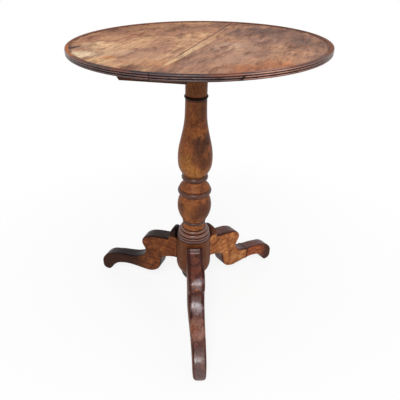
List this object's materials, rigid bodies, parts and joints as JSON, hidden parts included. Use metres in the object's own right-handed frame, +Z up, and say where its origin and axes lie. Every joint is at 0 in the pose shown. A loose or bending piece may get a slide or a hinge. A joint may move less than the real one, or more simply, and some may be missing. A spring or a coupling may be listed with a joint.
{
  "type": "tilt-top tripod wine table",
  "caption": "Round wine table: a reeded, dished walnut top that tilts on a block over a turned baluster column with scroll legs and a pendant drop.",
  "frame": {"origin": "on the floor, on the axis of the column", "axes": "+Z up along the column, -Y towards the front leg, +X to the right seen from the front"},
  "size_m": [0.5702, 0.596, 0.733],
  "materials": {
    "waxed_walnut_top": "waxed walnut, rubbed and sun-bleached in patches",
    "pale_walnut_strip": "paler walnut strip let in between the boards",
    "bare_walnut": "planed walnut without polish, darkened with age",
    "split_ash": "riven ash, unpolished",
    "turned_walnut": "turned walnut, waxed, darker in the grooves",
    "dark_walnut": "turned walnut, stained dark and waxed",
    "sawn_walnut": "band-sawn and rasped walnut, waxed, worn on the edges",
    "renewed_walnut": "later walnut of a redder tone, waxed",
    "aged_brass": "cast brass with a dull brown tarnish",
    "brass_screws": "brass screws, tarnished in the slots",
    "forged_iron": "black forged iron with a thin brown rust"
  },
  "bodies": {
    "base": {"column": "turned_walnut", "pendant": "dark_walnut", "leg_front": "sawn_walnut", "leg_left": "sawn_walnut", "leg_right": "sawn_walnut", "right_foot_splice": "renewed_walnut", "splice_dowel": "split_ash", "tilt_block": "bare_walnut", "tenon_wedge": "split_ash", "pivot_rod": "forged_iron", "strike_plate": "aged_brass", "strike_screws": "brass_screws"},
    "top": {"top_board_left": "waxed_walnut_top", "top_strip": "pale_walnut_strip", "top_board_right": "waxed_walnut_top", "bearer_front": "bare_walnut", "bearer_back": "bare_walnut", "bearer_screws": "forged_iron", "joint_cleat": "bare_walnut", "cleat_screws": "forged_iron", "catch_plate": "aged_brass", "catch_screws": "brass_screws"},
    "catch_bolt": {"catch_bolt": "aged_brass", "catch_knob": "aged_brass"}
  },
  "joints": [
    {"name": "top_tilt", "type": "hinge", "parent": "base", "child": "top", "pos_m": [0.05827, -0.02473, 0.7045], "axis": [0.3907, 0.9205, 0], "range_deg": [0, 90]},
    {"name": "catch_slide", "type": "slide", "parent": "top", "child": "catch_bolt", "axis": [0.9205, -0.3907, 0], "range_m": [0, 0.009]}
  ]
}
